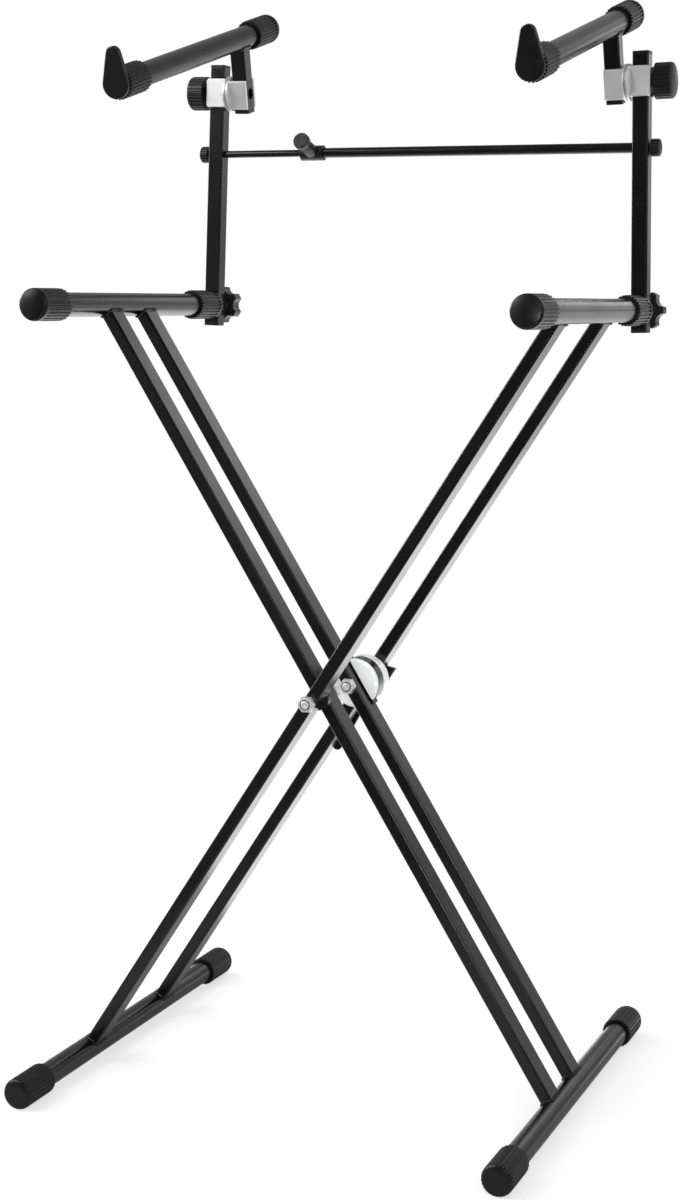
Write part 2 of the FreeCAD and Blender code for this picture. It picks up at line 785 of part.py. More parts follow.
def upper_arm(side):
    """The second tier's arm on its post, with a hook in front and a cap behind."""
    name = SIDE_NAMES[side]
    frame = tier_frame(side)
    wide = "Sizes.upright_side"
    length = "Sizes.post_below + Sizes.post_height"
    tube = box_tube(wide, wide, "Sizes.upright_wall", "Sizes.upright_corner", length)
    cope = cylinder(TUBE, f"2 * {wide}", Vector(0, -size("upright_side"), number(length)), Y)
    start = Vector(-size("upright_side"), 0, size("post_below"))
    bolt = cylinder(CLAMP_HOLE, f"2 * {wide}", start, X)
    below = Vector(0, 0, -size("post_below"))
    head_way = hexagon("Sizes.clamp_across + 2 * Sizes.hole_fit", wide, -below, X * -side)
    node(cut(tube, cope, bolt, head_way), f"{name}_post", frame * Placement(below, Rotation()))
    node(square_plug(frame * Placement(below, Rotation(X, 180))), f"{name}_post_plug")
    inside = size("cap_end")
    high = size("post_height")
    run = "Sizes.upper_front + Sizes.upper_rear - 2 * Sizes.cap_end"
    start = Placement(Vector(0, inside - size("upper_front"), high), TO_BACK)
    round_tube(f"{name}_upper_arm", run, frame * start)
    front = Placement(Vector(0, CAP - size("upper_front"), high), TO_FRONT)
    node(hook_cap(frame * front), f"{name}_hook_cap")
    rear = Placement(Vector(0, size("upper_rear") - CAP, high), TO_REAR)
    node(plain_cap(frame * rear), f"{name}_upper_cap")


# Crossbar between the uprights

SCREW_HOLE = "Sizes.bar_stud + 2 * Sizes.bolt_fit"
COLLAR_GRIP = f"(Sizes.collar_length - ({SCREW_HOLE})) / 2 - Sizes.collar_shoulder"


def crossbar():
    """A rod from the left upright that slides in a tube from the right one."""
    lean = math.radians(size("upright_lean"))
    height = ARM_Z + size("bar_height") * math.cos(lean)
    middle_x = ARM_X - size("bar_height") * math.sin(lean)
    face_x = middle_x - size("upright_side") / 2 / math.cos(lean) - size("run_gap")
    axis = Placement(Vector(0, UPRIGHT_Y, height), Rotation(Z, X))
    wide = "Sizes.upright_side + 2 * Sizes.run_gap"
    grip = "Sizes.bar_knob_hub_depth + Sizes.bar_knob_depth / 2"
    stud_length = f"{wide} + Sizes.run_gap + {grip}"
    rod_length = "Sizes.rod_visible + Sizes.rod_inside"
    rod = cylinder("Sizes.rod_diameter", rod_length, Vector(0, 0, -face_x))
    rod_stud = cylinder("Sizes.bar_stud", stud_length, Vector(0, 0, -face_x - number(stud_length)))
    node(fuse(rod, rod_stud), "crossbar_rod", axis)
    bore = "Sizes.bar_diameter - 2 * Sizes.bar_wall"
    collar_start = size("rod_visible") - face_x
    tube_start = collar_start + size("collar_length") - number(COLLAR_GRIP)
    tube = doc.addObject("Part::Cylinder", "crossbar_outside")
    bind(tube, Radius="Sizes.bar_diameter / 2")
    tube.Height = face_x - tube_start
    tube.Placement = Placement(Vector(0, 0, tube_start), Rotation())
    hollow = doc.addObject("Part::Cylinder", "crossbar_inside")
    bind(hollow, Radius=f"({bore}) / 2")
    hollow.Height = face_x - tube_start
    hollow.Placement = tube.Placement
    node(cut(tube, hollow), "crossbar_tube", axis)
    plug_start = Vector(0, 0, face_x - size("bar_plug"))
    plug = cylinder(f"{bore} - 2 * Sizes.plug_fit", "Sizes.bar_plug", plug_start)
    tube_stud = cylinder("Sizes.bar_stud", stud_length, Vector(0, 0, face_x))
    node(fuse(plug, tube_stud), "crossbar_stud", axis)
    collar(axis, collar_start)
    out = size("run_gap") + number(wide)
    for side in (LEFT, RIGHT):
        turn = Rotation() if side == RIGHT else Rotation(Y, 180)
        seat = Placement(Vector(0, 0, side * (face_x + out)), turn)
        end_knob = knob("bar_knob", SCREW_HOLE, grip)
        node(end_knob, f"{SIDE_NAMES[side]}_bar_knob", axis * seat)


def collar(axis, start):
    """The clamp ring on the tube's open end and its thumb screw, clear of the tube."""
    length = "Sizes.collar_length"
    centre = Vector(0, 0, start + size("collar_length") / 2)
    boss_frame = Placement(centre, Rotation(Z, Vector(0, -1, 0)))
    body = cylinder("Sizes.collar_diameter", length, Vector(0, 0, start))
    boss = cylinder("Sizes.boss_diameter", "Sizes.boss_reach")
    boss.Placement = boss_frame
    rod_way = "Sizes.bar_diameter - 2 * Sizes.bar_wall"
    rod_hole = cylinder(rod_way, length, Vector(0, 0, start))
    grip_start = Vector(0, 0, start + size("collar_length") - number(COLLAR_GRIP))
    tube_hole = cylinder("Sizes.bar_diameter + 2 * Sizes.plug_fit", COLLAR_GRIP, grip_start)
    screw_hole = cylinder(SCREW_HOLE, "Sizes.boss_reach")
    screw_hole.Placement = boss_frame
    rise = Placement(Vector(), Rotation(Z, -size("collar_rise")))
    node(cut(fuse(body, boss), rod_hole, tube_hole, screw_hole), "crossbar_collar", axis * rise)
    tip = "Sizes.rod_diameter / 2 + Sizes.run_gap"
    reach = f"Sizes.boss_reach + Sizes.run_gap - ({tip})"
    stem = "Sizes.collar_knob_hub_depth + Sizes.collar_knob_depth / 2"
    head = knob("collar_knob", "Sizes.bar_stud", stem)
    head.Placement = Placement(Vector(0, 0, size("boss_reach") + size("run_gap")), Rotation())
    shank = cylinder("Sizes.bar_stud", f"{reach} + {stem}", Vector(0, 0, number(tip)))
    node(fuse(head, shank), "collar_screw", axis * rise * boss_frame)


# Pivot and clutch

def pivot(placement_y):
    return Placement(Vector(0, placement_y, PIVOT_Z), TO_BACK)


def along_leg(side, placement_y):
    """On the pivot's axis with Y down a leg towards its foot and Z to the back."""
    return Placement(Vector(0, placement_y, PIVOT_Z), Rotation(Y, side * size("leg_angle")) * TO_BACK)


def hex_bolt(length, rear_y):
    """A bolt that points to the front, the back of its head's underside at a place along Y."""
    head = hexagon("Sizes.pivot_across", "Sizes.pivot_head", Z * -size("pivot_head"))
    bolt = fuse(head, cylinder("Sizes.pivot_bolt", length))
    bolt.Placement = Placement(Vector(0, rear_y, PIVOT_Z), TO_FRONT)
    return bolt


def hex_nut(rear_y):
    """A nut with its rear face at a place along Y."""
    nut = hexagon("Sizes.pivot_across", "Sizes.pivot_head")
    bored = cut(nut, cylinder(PIVOT_HOLE, "Sizes.pivot_head"))
    bored.Placement = pivot(rear_y - size("pivot_head"))
    return bored


def front_pivot():
    """Bolt, spacer and nut that join the front pair of legs."""
    grip = "2 * Sizes.leg_depth + Sizes.front_gap + Sizes.run_gap"
    length = f"{grip} + Sizes.pivot_head + Sizes.bolt_end"
    node(hex_bolt(length, INNER_FRONT_Y + HALF_LEG), "front_pivot_bolt")
    spacer = ring("Sizes.spacer_diameter", PIVOT_HOLE, "Sizes.front_gap - Sizes.run_gap")
    node(spacer, "front_pivot_spacer", pivot(OUTER_FRONT_Y + HALF_LEG))
    return hex_nut(OUTER_FRONT_Y - HALF_LEG - size("run_gap"))


CHANNEL_ROOM = "(Sizes.leg_width + 2 * Sizes.clutch_fit)"
CHANNEL_WIDTH = f"({CHANNEL_ROOM} + 2 * Sizes.clutch_base_wall)"
CLUTCH_END = "(Sizes.clutch_base_wall + Sizes.clutch_inner_depth)"


def clutch():
    """The toothed clutch between the rear legs, its bolt, spring and release lever."""
    base_y = INNER_REAR_Y + HALF_LEG
    node(clutch_base(), "clutch_base", along_leg(LEFT, base_y))
    node(clutch_inner(), "clutch_inner_half", along_leg(LEFT, base_y))
    front_y = OUTER_REAR_Y - HALF_LEG
    node(clutch_outer(), "clutch_outer_half", along_leg(RIGHT, front_y) * Placement(Vector(), Rotation(X, 180)))
    pocket_y = base_y + number(CLUTCH_END) - size("clutch_pocket_depth")
    node(clutch_spring(), "clutch_spring", pivot(pocket_y + size("run_gap") + size("spring_wire") / 2))
    back_y = OUTER_REAR_Y + HALF_LEG + size("run_gap")
    node(release_lever(), "release_lever", along_leg(RIGHT, back_y))
    grip = "2 * Sizes.leg_depth + Sizes.clutch_gap"
    lever_stack = "Sizes.lever_hub_depth + 2 * Sizes.run_gap"
    length = f"{grip} + {lever_stack} + Sizes.pivot_head + Sizes.bolt_end"
    node(hex_bolt(length, back_y + size("lever_hub_depth") + size("run_gap")), "clutch_bolt")
    return hex_nut(INNER_REAR_Y - HALF_LEG)


def clutch_base():
    """A sheet channel around the inner leg, the front of its web at Z 0."""
    wall, flange = size("clutch_base_wall"), size("clutch_base_flange")
    long = "Sizes.clutch_base_length"
    deep = "Sizes.clutch_base_flange + Sizes.clutch_base_wall"
    outside = block(CHANNEL_WIDTH, long, deep, Z * ((wall - flange) / 2))
    leg_way = block(CHANNEL_ROOM, long, "Sizes.clutch_base_flange", Z * (-flange / 2))
    return cut(outside, leg_way, cylinder(PIVOT_HOLE, "Sizes.clutch_base_wall"))


def clutch_teeth(body, lift):
    """Radial slots in the face at the lifted plane, cut back towards the sketch's base."""
    slot = sketch_on(body, lift=f"{lift} - Sizes.tooth_height")
    tooth_slot(slot, "Sizes.clutch_pocket / 2 + Sizes.tooth_width", "Sizes.clutch_diameter")
    around(body, pocket(body, slot), slot, "Sizes.clutch_teeth")


def clutch_inner():
    """The half on the inner leg: a domed disc that straddles the leg, a groove and a toothed drum."""
    body = new_body("clutch_inner")
    wide = "Sizes.clutch_diameter"
    front = "-Sizes.clutch_straddle"
    groove = f"{front} + Sizes.clutch_rim"
    drum = f"{groove} + Sizes.clutch_groove_width"
    pad(body, circle(sketch_on(body, lift=front), wide), "Sizes.clutch_rim")
    round_edges(body, "Sizes.clutch_dome", rim_at(number(front), size("clutch_diameter") / 2))
    pad(body, circle(sketch_on(body, lift=groove), "Sizes.clutch_groove"), "Sizes.clutch_groove_width")
    pad(body, circle(sketch_on(body, lift=drum), wide), f"{CLUTCH_END} - ({drum})")
    slot = sketch_on(body, lift=front)
    half = f"({CHANNEL_WIDTH} / 2 + Sizes.clutch_fit)"
    polygon(slot, [(f"-{half}", f"-{wide}"), (half, f"-{wide}"), (half, wide), (f"-{half}", wide)])
    pocket(body, slot, "Sizes.clutch_straddle + Sizes.clutch_base_wall")
    pocket(body, circle(sketch_on(body), PIVOT_HOLE))
    hollow = circle(sketch_on(body, lift=f"{CLUTCH_END} - Sizes.clutch_pocket_depth"), "Sizes.clutch_pocket")
    pocket(body, hollow)
    clutch_teeth(body, CLUTCH_END)
    return body


def clutch_outer():
    """The half on the outer leg, its back at Z 0 and its teeth facing the other half."""
    body = new_body("clutch_outer")
    depth = f"Sizes.clutch_gap - {CLUTCH_END} - Sizes.teeth_gap"
    pad(body, circle(sketch_on(body), "Sizes.clutch_diameter"), depth)
    round_edges(body, "Sizes.clutch_round", rim_at(0, size("clutch_diameter") / 2))
    pocket(body, circle(sketch_on(body), PIVOT_HOLE))
    hollow = circle(sketch_on(body, lift=f"{depth} - Sizes.clutch_pocket_depth"), "Sizes.clutch_pocket")
    pocket(body, hollow)
    clutch_teeth(body, depth)
    return body


def clutch_spring():
    """The coil that parts the halves when the lever lets go."""
    helix = doc.addObject("Part::Helix", "coil")
    pockets = "2 * Sizes.clutch_pocket_depth + Sizes.teeth_gap"
    height = f"({pockets} - Sizes.spring_wire - 2 * Sizes.run_gap)"
    pitch = f"{height} / Sizes.spring_turns"
    bind(helix, Radius="Sizes.spring_diameter / 2", Pitch=pitch, Height=height)
    wire = doc.addObject("Part::Circle", "wire")
    bind(wire, Radius="Sizes.spring_wire / 2")
    wire.Placement = Placement(Vector(size("spring_diameter") / 2, 0, 0), Rotation(X, 90))
    item = doc.addObject("Part::Sweep", "spring")
    item.Sections = [wire]
    item.Spine = (helix, [])
    item.Solid = True
    item.Frenet = True
    return item


def release_lever():
    """The clutch's lever behind the rear outer leg: hub, long arm and a tab beside the leg."""
    hub = cylinder("Sizes.lever_hub", "Sizes.lever_hub_depth")
    arm_body = new_body("lever_arm")
    outline = sketch_on(arm_body, lift="Sizes.lever_back")
    wide = "Sizes.lever_width"
    rounded_end_bar(outline, f"{wide} + 2 * Sizes.lever_back", wide, "Sizes.lever_length")
    pad(arm_body, outline, "Sizes.lever_depth")
    arm_body.Placement = Placement(Vector(), Rotation(Z, size("lever_turn")))
    tab = new_body("lever_tab")
    outline = sketch_on(tab, lift="Sizes.lever_back")
    reach = "Sizes.tab_reach"
    root = [("0", "Sizes.tab_below"), ("0", "-Sizes.tab_root")]
    polygon(outline, root + [(reach, "-Sizes.tab_above"), (reach, "Sizes.tab_below")])
    pad(tab, outline, "Sizes.lever_depth")
    bore = cylinder(PIVOT_HOLE, "Sizes.lever_hub_depth")
    return cut(fuse(hub, arm_body, tab), bore)


# The whole stand

leg("front_outer_leg", RIGHT, OUTER_FRONT_Y)
leg("front_inner_leg", LEFT, INNER_FRONT_Y)
leg("rear_inner_leg", LEFT, INNER_REAR_Y)
leg("rear_outer_leg", RIGHT, OUTER_REAR_Y)
node(group(front_pivot(), clutch()), "pivot_nuts")
for stand_side in (LEFT, RIGHT):
    arm(stand_side)
    foot(stand_side)
    upright(stand_side)
    clamp(stand_side)
    upper_arm(stand_side)
crossbar()

doc.recompute()

os.makedirs("parts", exist_ok=True)
for item in doc.Objects:
    if "Invalid" in item.State or "Error" in item.State:
        raise RuntimeError(f"{item.Label}: {item.State}")
for item in nodes:
    if item.Shape.isNull() or not item.Shape.isValid():
        raise RuntimeError(f"{item.Label}: bad shape")
    item.Shape.exportStep(f"parts/{item.Label}.step")
    print(item.Label, len(item.Shape.Solids), round(item.Shape.Volume))
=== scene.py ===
"""Looks of a folding X keyboard stand with a tilting second tier.

Everything is in metres in the part's frame: X to the player's right, Y to the back, Z up.
Sizes of single features are written in millimetres.
"""
import json
import math

import bmesh
import bpy
from mathutils import Matrix, Vector


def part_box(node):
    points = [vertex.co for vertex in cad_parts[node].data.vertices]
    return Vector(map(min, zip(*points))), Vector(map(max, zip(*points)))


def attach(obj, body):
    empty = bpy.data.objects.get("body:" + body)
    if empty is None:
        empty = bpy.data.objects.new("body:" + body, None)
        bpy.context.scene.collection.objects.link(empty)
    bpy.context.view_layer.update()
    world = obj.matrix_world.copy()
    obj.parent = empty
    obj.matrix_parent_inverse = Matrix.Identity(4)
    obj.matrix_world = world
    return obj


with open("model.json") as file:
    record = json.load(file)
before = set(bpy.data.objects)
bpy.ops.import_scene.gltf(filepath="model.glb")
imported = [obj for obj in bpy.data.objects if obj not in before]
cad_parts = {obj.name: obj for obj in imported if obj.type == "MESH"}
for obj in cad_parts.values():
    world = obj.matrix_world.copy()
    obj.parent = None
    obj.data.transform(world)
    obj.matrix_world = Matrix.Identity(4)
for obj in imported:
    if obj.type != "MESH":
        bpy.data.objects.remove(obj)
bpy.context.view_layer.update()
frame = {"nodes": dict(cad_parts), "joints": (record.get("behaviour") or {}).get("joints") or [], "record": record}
nodes = frame["nodes"]
joints = {joint["name"]: joint for joint in frame["joints"]}

MM = 0.001
Y = Vector((0, 1, 0))

# Each side with the sign of its X
SIDES = {"left": -1, "right": 1}

# Camera, solved on the edges of the tubes: image in pixels, sensor in millimetres, place in metres and
# angles in radians
IMAGE_HEIGHT = 1200
FOCAL_PIXELS = 2073.4
SENSOR_LONG_SIDE = 36.0
CAMERA_PLACE = Vector((0.92185, -2.27341, 0.9405))
CAMERA_YAW = 0.39011
CAMERA_PITCH = -0.14611
CAMERA_ROLL = 0.01172


def linear(hex_colour):
    """An sRGB hex colour as linear RGBA."""
    channels = [int(hex_colour[place:place + 2], 16) / 255 for place in (1, 3, 5)]
    return [c / 12.92 if c <= 0.04045 else ((c + 0.055) / 1.055) ** 2.4 for c in channels] + [1.0]


def per_metre(millimetres):
    """A texture's scale, from the size of one of its features."""
    return 1 / (millimetres * MM)


def add(tree, kind, inputs=None, **settings):
    """Add a node with its settings, values and links."""
    item = tree.nodes.new(kind)
    for name, value in settings.items():
        setattr(item, name, value)
    for socket, value in (inputs or {}).items():
        if isinstance(value, bpy.types.NodeSocket):
            tree.links.new(value, item.inputs[socket])
        else:
            item.inputs[socket].default_value = value
    return item


def new_material(name):
    """A material without nodes, and its tree."""
    material = bpy.data.materials.new(name)
    material.use_nodes = True
    material.node_tree.nodes.clear()
    return material, material.node_tree


# Materials

# Band that holds most values of a noise texture
NOISE_LOW = 0.3
NOISE_HIGH = 0.7


def powder_coat():
    """Satin black powder coat on steel tube.

    Baked powder flows out to a faint orange peel, so reflections are soft and slightly uneven.
    The peel is about 1 mm across and is drawn at 4 mm to show at all.
    """
    material, tree = new_material("steel_satin_black_powder_coat")
    place = add(tree, "ShaderNodeTexCoord").outputs["Object"]
    cloud = add(tree, "ShaderNodeTexNoise", {"Vector": place, "Scale": per_metre(60), "Detail": 3.0})
    peel = add(tree, "ShaderNodeTexNoise", {"Vector": place, "Scale": per_metre(4), "Detail": 2.0})
    tone = add(tree, "ShaderNodeMix", {
        "Factor": cloud.outputs["Fac"], "A": linear("#080808"), "B": linear("#0e0e0f"),
    }, data_type="RGBA")
    gloss = add(tree, "ShaderNodeMapRange", {
        "Value": cloud.outputs["Fac"], "From Min": NOISE_LOW, "From Max": NOISE_HIGH,
        "To Min": 0.20, "To Max": 0.27,
    })
    bump = add(tree, "ShaderNodeBump", {
        "Height": peel.outputs["Fac"], "Strength": 0.02, "Distance": 0.3 * MM,
    })
    shader = add(tree, "ShaderNodeBsdfPrincipled", {
        "Base Color": tone.outputs["Result"], "Roughness": gloss.outputs["Result"],
        "Normal": bump.outputs["Normal"], "IOR": 1.52,
    })
    add(tree, "ShaderNodeOutputMaterial", {"Surface": shader.outputs["BSDF"]})
    return material


def moulded_rubber():
    """Black moulded rubber: deep black with the half gloss of a polished mould and a little bloom."""
    material, tree = new_material("rubber_black_moulded")
    place = add(tree, "ShaderNodeTexCoord").outputs["Object"]
    bloom = add(tree, "ShaderNodeTexNoise", {"Vector": place, "Scale": per_metre(18), "Detail": 4.0})
    skin = add(tree, "ShaderNodeTexNoise", {"Vector": place, "Scale": per_metre(1.5), "Detail": 2.0})
    tone = add(tree, "ShaderNodeMix", {
        "Factor": bloom.outputs["Fac"], "A": linear("#0b0b0b"), "B": linear("#131313"),
    }, data_type="RGBA")
    gloss = add(tree, "ShaderNodeMapRange", {
        "Value": bloom.outputs["Fac"], "From Min": NOISE_LOW, "From Max": NOISE_HIGH,
        "To Min": 0.33, "To Max": 0.43,
    })
    bump = add(tree, "ShaderNodeBump", {
        "Height": skin.outputs["Fac"], "Strength": 0.08, "Distance": 0.2 * MM,
    })
    shader = add(tree, "ShaderNodeBsdfPrincipled", {
        "Base Color": tone.outputs["Result"], "Roughness": gloss.outputs["Result"],
        "Normal": bump.outputs["Normal"], "IOR": 1.52, "Specular IOR Level": 0.35,
    })
    add(tree, "ShaderNodeOutputMaterial", {"Surface": shader.outputs["BSDF"]})
    return material


def moulded_nylon():
    """Black glass-filled nylon of knobs and plugs: half matt, with a faint spark-eroded grain."""
    material, tree = new_material("nylon_black_moulded")
    place = add(tree, "ShaderNodeTexCoord").outputs["Object"]
    flow = add(tree, "ShaderNodeTexNoise", {"Vector": place, "Scale": per_metre(25), "Detail": 3.0})
    grain = add(tree, "ShaderNodeTexVoronoi", {"Vector": place, "Scale": per_metre(1.2)})
    tone = add(tree, "ShaderNodeMix", {
        "Factor": flow.outputs["Fac"], "A": linear("#0d0d0e"), "B": linear("#161617"),
    }, data_type="RGBA")
    gloss = add(tree, "ShaderNodeMapRange", {
        "Value": flow.outputs["Fac"], "From Min": NOISE_LOW, "From Max": NOISE_HIGH,
        "To Min": 0.36, "To Max": 0.46,
    })
    bump = add(tree, "ShaderNodeBump", {
        "Height": grain.outputs["Distance"], "Strength": 0.1, "Distance": 0.2 * MM,
    })
    shader = add(tree, "ShaderNodeBsdfPrincipled", {
        "Base Color": tone.outputs["Result"], "Roughness": gloss.outputs["Result"],
        "Normal": bump.outputs["Normal"], "IOR": 1.53,
    })
    add(tree, "ShaderNodeOutputMaterial", {"Surface": shader.outputs["BSDF"]})
    return material


def die_cast_aluminium():
    """Die-cast aluminium, shot-blasted.

    The blasted skin is a mass of tiny dents that scatter part of the light as paint does, so it is paler
    and softer than bare metal.
    """
    material, tree = new_material("aluminium_die_cast_shot_blasted")
    place = add(tree, "ShaderNodeTexCoord").outputs["Object"]
    patch = add(tree, "ShaderNodeTexNoise", {"Vector": place, "Scale": per_metre(14), "Detail": 5.0})
    grain = add(tree, "ShaderNodeTexNoise", {"Vector": place, "Scale": per_metre(1.6), "Detail": 3.0})
    tone = add(tree, "ShaderNodeMix", {
        "Factor": patch.outputs["Fac"], "A": linear("#e9eaea"), "B": linear("#f6f6f6"),
    }, data_type="RGBA")
    gloss = add(tree, "ShaderNodeMapRange", {
        "Value": patch.outputs["Fac"], "From Min": NOISE_LOW, "From Max": NOISE_HIGH,
        "To Min": 0.36, "To Max": 0.46,
    })
    bump = add(tree, "ShaderNodeBump", {
        "Height": grain.outputs["Fac"], "Strength": 0.08, "Distance": 0.2 * MM,
    })
    shader = add(tree, "ShaderNodeBsdfPrincipled", {
        "Base Color": tone.outputs["Result"], "Metallic": 0.7, "Roughness": gloss.outputs["Result"],
        "Normal": bump.outputs["Normal"],
    })
    add(tree, "ShaderNodeOutputMaterial", {"Surface": shader.outputs["BSDF"]})
    return material


def lacquered_casting():
    """The clutch's castings under a coat of white lacquer: bright, smooth and softly glossy."""
    material, tree = new_material("aluminium_die_cast_white_lacquer")
    place = add(tree, "ShaderNodeTexCoord").outputs["Object"]
    flow = add(tree, "ShaderNodeTexNoise", {"Vector": place, "Scale": per_metre(12), "Detail": 3.0})
    tone = add(tree, "ShaderNodeMix", {
        "Factor": flow.outputs["Fac"], "A": linear("#f1f2f2"), "B": linear("#fafafa"),
    }, data_type="RGBA")
    gloss = add(tree, "ShaderNodeMapRange", {
        "Value": flow.outputs["Fac"], "From Min": NOISE_LOW, "From Max": NOISE_HIGH,
        "To Min": 0.28, "To Max": 0.36,
    })
    shader = add(tree, "ShaderNodeBsdfPrincipled", {
        "Base Color": tone.outputs["Result"], "Roughness": gloss.outputs["Result"], "IOR": 1.5,
    })
    add(tree, "ShaderNodeOutputMaterial", {"Surface": shader.outputs["BSDF"]})
    return material


def zinc_plate():
    """Zinc-plated steel of bolts and nuts.

    Passivated zinc is a cool silver with a cloudy spangle that scatters part of the light.
    """
    material, tree = new_material("steel_bright_zinc_plate")
    place = add(tree, "ShaderNodeTexCoord").outputs["Object"]
    spangle = add(tree, "ShaderNodeTexVoronoi", {"Vector": place, "Scale": per_metre(2.5)})
    cloud = add(tree, "ShaderNodeTexNoise", {"Vector": place, "Scale": per_metre(6), "Detail": 3.0})
    tone = add(tree, "ShaderNodeMix", {
        "Factor": cloud.outputs["Fac"], "A": linear("#d2d5d7"), "B": linear("#f2f3f4"),
    }, data_type="RGBA")
    gloss = add(tree, "ShaderNodeMapRange", {
        "Value": spangle.outputs["Distance"], "From Min": 0.0, "From Max": 0.8, "To Min": 0.3, "To Max": 0.45,
    })
    shader = add(tree, "ShaderNodeBsdfPrincipled", {
        "Base Color": tone.outputs["Result"], "Metallic": 0.6, "Roughness": gloss.outputs["Result"],
    })
    add(tree, "ShaderNodeOutputMaterial", {"Surface": shader.outputs["BSDF"]})
    return material


def tempered_steel():
    """Oil-tempered steel of the spring, also used as the painted shade band in the clutch's groove: dark grey with
    a faint mottle.
    """
    material, tree = new_material("steel_oil_tempered_wire")
    place = add(tree, "ShaderNodeTexCoord").outputs["Object"]
    mottle = add(tree, "ShaderNodeTexNoise", {"Vector": place, "Scale": per_metre(2), "Detail": 4.0})
    tone = add(tree, "ShaderNodeMix", {
        "Factor": mottle.outputs["Fac"], "A": linear("#55565a"), "B": linear("#7a7b7f"),
    }, data_type="RGBA")
    shader = add(tree, "ShaderNodeBsdfPrincipled", {
        "Base Color": tone.outputs["Result"], "Metallic": 1.0, "Roughness": 0.35,
    })
    add(tree, "ShaderNodeOutputMaterial", {"Surface": shader.outputs["BSDF"]})
    return material


SLOT_MATERIALS = {
    "paint": powder_coat(), "rubber": moulded_rubber(), "plastic": moulded_nylon(),
    "cast": die_cast_aluminium(), "zinc": zinc_plate(), "spring_steel": tempered_steel(),
}

for subpart in frame["record"]["subparts"]:
    cad_mesh = nodes[subpart["node"]].data
    cad_mesh.materials.clear()
    cad_mesh.materials.append(SLOT_MATERIALS[subpart["material_slot"]])

white_lacquer = lacquered_casting()
for clutch_half in ("clutch_inner_half", "clutch_outer_half"):
    nodes[clutch_half].data.materials[0] = white_lacquer


# Meshes of added pieces

SHARP_ANGLE = math.radians(40)


def new_piece(name, body, slot, points, faces):
    """A shaded mesh that rides on a body; points are in metres."""
    mesh = bpy.data.meshes.new(name)
    mesh.from_pydata(points, [], faces)
    shape = bmesh.new()
    shape.from_mesh(mesh)
    bmesh.ops.recalc_face_normals(shape, faces=shape.faces)
    shape.to_mesh(mesh)
    shape.free()
    mesh.materials.append(SLOT_MATERIALS[slot])
    mesh.shade_smooth()
    mesh.set_sharp_from_angle(angle=SHARP_ANGLE)
    item = bpy.data.objects.new(name, mesh)
    bpy.context.scene.collection.objects.link(item)
    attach(item, body)
    return item


def looped(rings, closed=True):
    """Points and faces that join rings of equal length, in a closed loop or with both ends capped."""
    count = len(rings)
    around = len(rings[0])
    faces = []
    for ring in range(count if closed else count - 1):
        for step in range(around):
            after = (step + 1) % around
            here, there = ring * around, (ring + 1) % count * around
            faces.append((here + step, here + after, there + after, there + step))
    if not closed:
        faces += [tuple(range(around)), tuple(range((count - 1) * around, count * around))]
    return [point for ring in rings for point in ring], faces


def turned(name, body, slot, base, axis, profile, segments=64):
    """A solid turned about an axis from (radius, height) points in millimetres.

    A profile from axis to axis closes at its two ends, any other closes on itself.
    """
    side = axis.orthogonal().normalized()
    other = axis.cross(side)
    points, rings = [], []
    for radius, height in profile:
        count = segments if radius else 1
        rings.append(range(len(points), len(points) + count))
        for step in range(count):
            turn = 2 * math.pi * step / count
            out = side * math.cos(turn) + other * math.sin(turn)
            points.append(base + (out * radius + axis * height) * MM)
    pairs = list(zip(rings, rings[1:]))
    if profile[0][0]:
        pairs.append((rings[-1], rings[0]))
    faces = []
    for low, high in pairs:
        for step in range(segments):
            corners = [low[step % len(low)], low[(step + 1) % len(low)]]
            corners += [high[(step + 1) % len(high)], high[step % len(high)]]
            faces.append(tuple(dict.fromkeys(corners)))
    return new_piece(name, body, slot, points, faces)


# Weld beads and the box tubes they go around: millimetres, the ripple as a share of the bead's radius

WELD_RADIUS = 2.1
WELD_RIPPLE = 0.16
WELD_PITCH = 3.2
WELD_SIDES = 12
WELD_STEP = 1.0
LEG_WIDTH = 15
LEG_CORNER = 2.5
POST_SIDE = 20
POST_CORNER = 2


def rounded_outline(width, depth, corner):
    """Points of a rounded rectangle with their outward directions, in millimetres.

    The bend of each corner is followed by the straight run to the next one.
    """
    outline = []
    quarter = math.pi / 2
    bend_steps = max(2, round(quarter * corner / WELD_STEP))
    for index, (across, up) in enumerate(((1, -1), (1, 1), (-1, 1), (-1, -1))):
        centre = Vector((across * (width / 2 - corner), up * (depth / 2 - corner)))
        start = quarter * (index - 1)
        for step in range(bend_steps + 1):
            turn = start + quarter * step / bend_steps
            out = Vector((math.cos(turn), math.sin(turn)))
            bend_end = centre + out * corner
            outline.append((bend_end, out))
        run = (depth if index % 2 == 0 else width) - 2 * corner
        run_steps = round(run / WELD_STEP)
        along = Vector((-out.y, out.x)) * run / run_steps
        for step in range(1, run_steps):
            outline.append((bend_end + along * step, out))
    return outline


